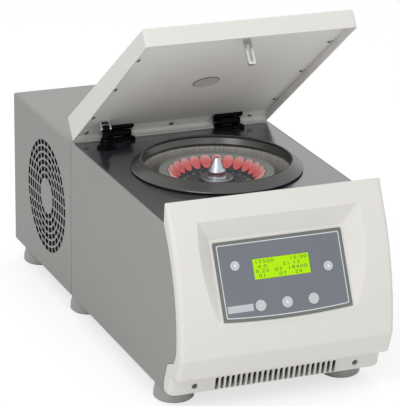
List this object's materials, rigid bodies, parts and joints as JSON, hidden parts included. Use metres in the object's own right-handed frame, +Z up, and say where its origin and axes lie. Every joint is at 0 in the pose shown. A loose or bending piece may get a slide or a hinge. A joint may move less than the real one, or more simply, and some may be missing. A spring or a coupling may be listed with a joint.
{
  "type": "refrigerated microcentrifuge",
  "caption": "Bench centrifuge for small capped tubes with a hinged lid on a gas strut, a ringed rotor chamber, a sloping control panel and a cooling section with a round fan grille.",
  "frame": {"origin": "centre of the bounding box at the bottom of the feet", "axes": "-Y is the side with the control panel, +Y the back with the mains inlet, +X right as seen from the front, +Z up"},
  "size_m": [0.28, 0.6322, 0.4547],
  "materials": {
    "panel_grey": "satin painted sheet",
    "deck_dark": "glossy dark coated sheet",
    "fascia_white": "satin moulded plastic",
    "lid_white": "satin moulded plastic",
    "plate_grey": "satin painted sheet",
    "overlay_grey": "printed membrane, bare of words",
    "display_green": "backlit display",
    "key_silver": "silver key caps",
    "rubber_dark": "moulded rubber",
    "black_plastic": "moulded plastic",
    "strut_black": "black coated steel",
    "steel_bright": "bare steel",
    "bowl_steel": "dull stainless sheet",
    "rotor_grey": "anodised turned aluminium with capped tubes",
    "fin_aluminium": "thin fins",
    "foam_grey": "insulating foam",
    "copper_pipe": "copper tube",
    "board_green": "circuit board"
  },
  "bodies": {
    "cabinet": {"left_side_panel": "panel_grey", "right_side_panel": "panel_grey", "rear_left_panel": "panel_grey", "rear_right_panel": "panel_grey", "rear_top_panel": "panel_grey", "rear_panel": "panel_grey", "base_pan": "panel_grey", "partition_plate": "panel_grey", "top_deck": "deck_dark", "bowl_seal": "rubber_dark", "rotor_bowl": "bowl_steel", "bowl_insulation": "foam_grey", "drive_motor": "steel_bright", "motor_mount": "rubber_dark", "foot_front_left": "rubber_dark", "foot_front_right": "rubber_dark", "foot_middle_left": "rubber_dark", "foot_middle_right": "rubber_dark", "foot_rear_left": "rubber_dark", "foot_rear_right": "rubber_dark", "front_fascia": "fascia_white", "control_overlay": "overlay_grey", "display_lens": "display_green", "control_board": "board_green", "hinge_base_left": "black_plastic", "hinge_base_right": "black_plastic", "hinge_pin_left": "steel_bright", "hinge_pin_right": "steel_bright", "strut_foot": "steel_bright", "strut_boot": "rubber_dark", "lock_housing": "black_plastic", "fan_motor": "steel_bright", "fan_bracket": "steel_bright", "condenser": "fin_aluminium", "compressor": "strut_black", "discharge_pipe": "copper_pipe", "suction_pipe": "copper_pipe", "power_inlet": "black_plastic"},
    "lid": {"lid_shell": "lid_white", "lid_inner_plate": "plate_grey", "lid_striker": "steel_bright", "lid_badge": "plate_grey", "strut_fork": "steel_bright", "hinge_leaf_left": "black_plastic", "hinge_leaf_right": "black_plastic"},
    "rotor": {"motor_shaft": "steel_bright", "rotor_head": "rotor_grey", "rotor_nut": "steel_bright"},
    "fan": {"fan_rotor": "black_plastic"},
    "strut_tube_body": {"strut_tube": "strut_black"},
    "strut_rod_body": {"strut_rod": "strut_black"},
    "rocker": {"switch_rocker": "black_plastic"},
    "catch": {"lock_catch": "steel_bright"},
    "key_decrease_body": {"key_decrease": "key_silver"},
    "key_increase_body": {"key_increase": "key_silver"},
    "key_left_body": {"key_left": "key_silver"},
    "key_middle_body": {"key_middle": "key_silver"},
    "key_right_body": {"key_right": "key_silver"}
  },
  "joints": [
    {"name": "lid_hinge", "type": "hinge", "parent": "cabinet", "child": "lid", "pos_m": [0, 0.0728, 0.2455], "axis": [1, 0, 0], "range_deg": [0, 36.4]},
    {"name": "rotor_spin", "type": "hinge", "parent": "cabinet", "child": "rotor", "pos_m": [0, -0.0814, 0.198], "axis": [0, 0, 1], "continuous": true},
    {"name": "fan_spin", "type": "hinge", "parent": "cabinet", "child": "fan", "pos_m": [-0.1145, 0.1778, 0.1322], "axis": [1, 0, 0], "continuous": true},
    {"name": "strut_tilt", "type": "hinge", "parent": "cabinet", "child": "strut_tube_body", "pos_m": [-0.104, 0.041, 0.088], "axis": [1, 0, 0], "range_deg": [0, 2]},
    {"name": "strut_slide", "type": "slide", "parent": "strut_tube_body", "child": "strut_rod_body", "axis": [0, 0.0139, 0.9999], "range_m": [-0.0208, 0]},
    {"name": "rocker_tilt", "type": "hinge", "parent": "cabinet", "child": "rocker", "pos_m": [0.036, 0.307, 0.06], "axis": [1, 0, 0], "range_deg": [-16, 0]},
    {"name": "catch_slide", "type": "slide", "parent": "cabinet", "child": "catch", "axis": [0, -1, 0], "range_m": [0, 0.009], "stiffness_N_per_m": 100},
    {"name": "key_decrease_press", "type": "slide", "parent": "cabinet", "child": "key_decrease_body", "axis": [0, 0.8973, -0.4415], "range_m": [0, 0.0008], "stiffness_N_per_m": 900},
    {"name": "key_increase_press", "type": "slide", "parent": "cabinet", "child": "key_increase_body", "axis": [0, 0.8973, -0.4415], "range_m": [0, 0.0008], "stiffness_N_per_m": 900},
    {"name": "key_left_press", "type": "slide", "parent": "cabinet", "child": "key_left_body", "axis": [0, 0.8973, -0.4415], "range_m": [0, 0.0008], "stiffness_N_per_m": 900},
    {"name": "key_middle_press", "type": "slide", "parent": "cabinet", "child": "key_middle_body", "axis": [0, 0.8973, -0.4415], "range_m": [0, 0.0008], "stiffness_N_per_m": 900},
    {"name": "key_right_press", "type": "slide", "parent": "cabinet", "child": "key_right_body", "axis": [0, 0.8973, -0.4415], "range_m": [0, 0.0008], "stiffness_N_per_m": 900}
  ],
  "couplings": [
    {"joint": "strut_tilt", "follows": "lid_hinge", "ratio": 0.053823},
    {"joint": "strut_slide", "follows": "lid_hinge", "m_per_rad": -0.032358}
  ]
}
